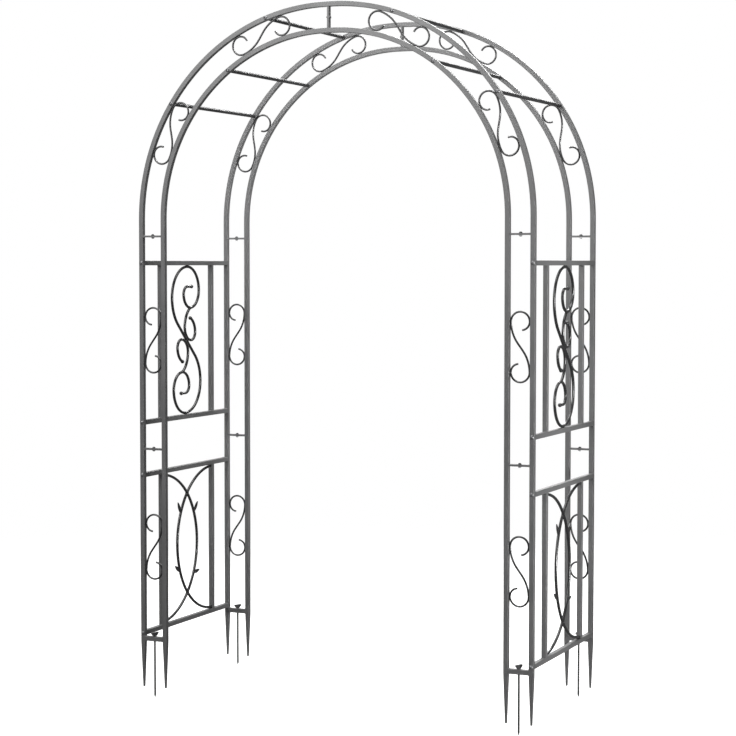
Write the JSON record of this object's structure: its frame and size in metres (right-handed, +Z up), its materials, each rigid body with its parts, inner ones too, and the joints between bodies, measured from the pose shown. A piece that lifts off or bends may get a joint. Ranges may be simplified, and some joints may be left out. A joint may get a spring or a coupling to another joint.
{
  "type": "garden trellis arch",
  "caption": "Metal garden arch: front and back arched ladder frames with wire scrolls, side panels with scroll ornament, round roof bars, spiked feet and loose ground stakes.",
  "frame": {"origin": "middle of the footprint at ground level, where the undersides of the foot bars meet the soil; the spikes and stakes go below it", "axes": "+Z up, +Y through the arch from front to back, +X to the right of a person standing in front"},
  "size_m": [1.327, 0.5944, 2.178],
  "materials": {
    "grey_tube": "satin powder coat",
    "dark_wire": "satin powder coat",
    "dark_rod": "satin powder coat",
    "dark_bar": "satin powder coat",
    "stake_steel": "satin powder coat",
    "fastener_steel": "blackened zinc",
    "insert_steel": "plain steel"
  },
  "bodies": {
    "arch": {"back_left_arch_inner_rail": "grey_tube", "back_left_arch_outer_rail": "grey_tube", "back_left_foot_bar": "grey_tube", "back_left_lower_inner_rail": "grey_tube", "back_left_lower_outer_rail": "grey_tube", "back_left_scrolls": "dark_wire", "back_left_spikes": "grey_tube", "back_left_upper_inner_rail": "grey_tube", "back_left_upper_outer_rail": "grey_tube", "back_right_arch_inner_rail": "grey_tube", "back_right_arch_outer_rail": "grey_tube", "back_right_foot_bar": "grey_tube", "back_right_lower_inner_rail": "grey_tube", "back_right_lower_outer_rail": "grey_tube", "back_right_scrolls": "dark_wire", "back_right_spikes": "grey_tube", "back_right_upper_inner_rail": "grey_tube", "back_right_upper_outer_rail": "grey_tube", "frame_bolts": "fastener_steel", "front_left_arch_inner_rail": "grey_tube", "front_left_arch_outer_rail": "grey_tube", "front_left_foot_bar": "grey_tube", "front_left_lower_inner_rail": "grey_tube", "front_left_lower_outer_rail": "grey_tube", "front_left_scrolls": "dark_wire", "front_left_spikes": "grey_tube", "front_left_upper_inner_rail": "grey_tube", "front_left_upper_outer_rail": "grey_tube", "front_right_arch_inner_rail": "grey_tube", "front_right_arch_outer_rail": "grey_tube", "front_right_foot_bar": "grey_tube", "front_right_lower_inner_rail": "grey_tube", "front_right_lower_outer_rail": "grey_tube", "front_right_scrolls": "dark_wire", "front_right_spikes": "grey_tube", "front_right_upper_inner_rail": "grey_tube", "front_right_upper_outer_rail": "grey_tube", "joint_bolts": "fastener_steel", "joint_nuts": "fastener_steel", "joint_plates": "grey_tube", "left_high_roof_bar": "dark_bar", "left_low_roof_bar": "dark_bar", "left_lower_panel_frame": "grey_tube", "left_lower_panel_ornament": "dark_rod", "left_middle_roof_bar": "dark_bar", "left_upper_panel_frame": "grey_tube", "left_upper_panel_ornament": "dark_rod", "panel_rail_plugs": "insert_steel", "rail_sleeves": "insert_steel", "right_high_roof_bar": "dark_bar", "right_low_roof_bar": "dark_bar", "right_lower_panel_frame": "grey_tube", "right_lower_panel_ornament": "dark_rod", "right_middle_roof_bar": "dark_bar", "right_upper_panel_frame": "grey_tube", "right_upper_panel_ornament": "dark_rod"},
    "back_left_stake": {"back_left_stake": "stake_steel"},
    "back_right_stake": {"back_right_stake": "stake_steel"},
    "front_left_stake": {"front_left_stake": "stake_steel"},
    "front_right_stake": {"front_right_stake": "stake_steel"}
  },
  "joints": [
    {"name": "back_left_stake_slide", "type": "slide", "parent": "arch", "child": "back_left_stake", "axis": [0, 0, 1], "range_m": [0, 0.165]},
    {"name": "back_right_stake_slide", "type": "slide", "parent": "arch", "child": "back_right_stake", "axis": [0, 0, 1], "range_m": [0, 0.165]},
    {"name": "front_left_stake_slide", "type": "slide", "parent": "arch", "child": "front_left_stake", "axis": [0, 0, 1], "range_m": [0, 0.165]},
    {"name": "front_right_stake_slide", "type": "slide", "parent": "arch", "child": "front_right_stake", "axis": [0, 0, 1], "range_m": [0, 0.165]}
  ]
}
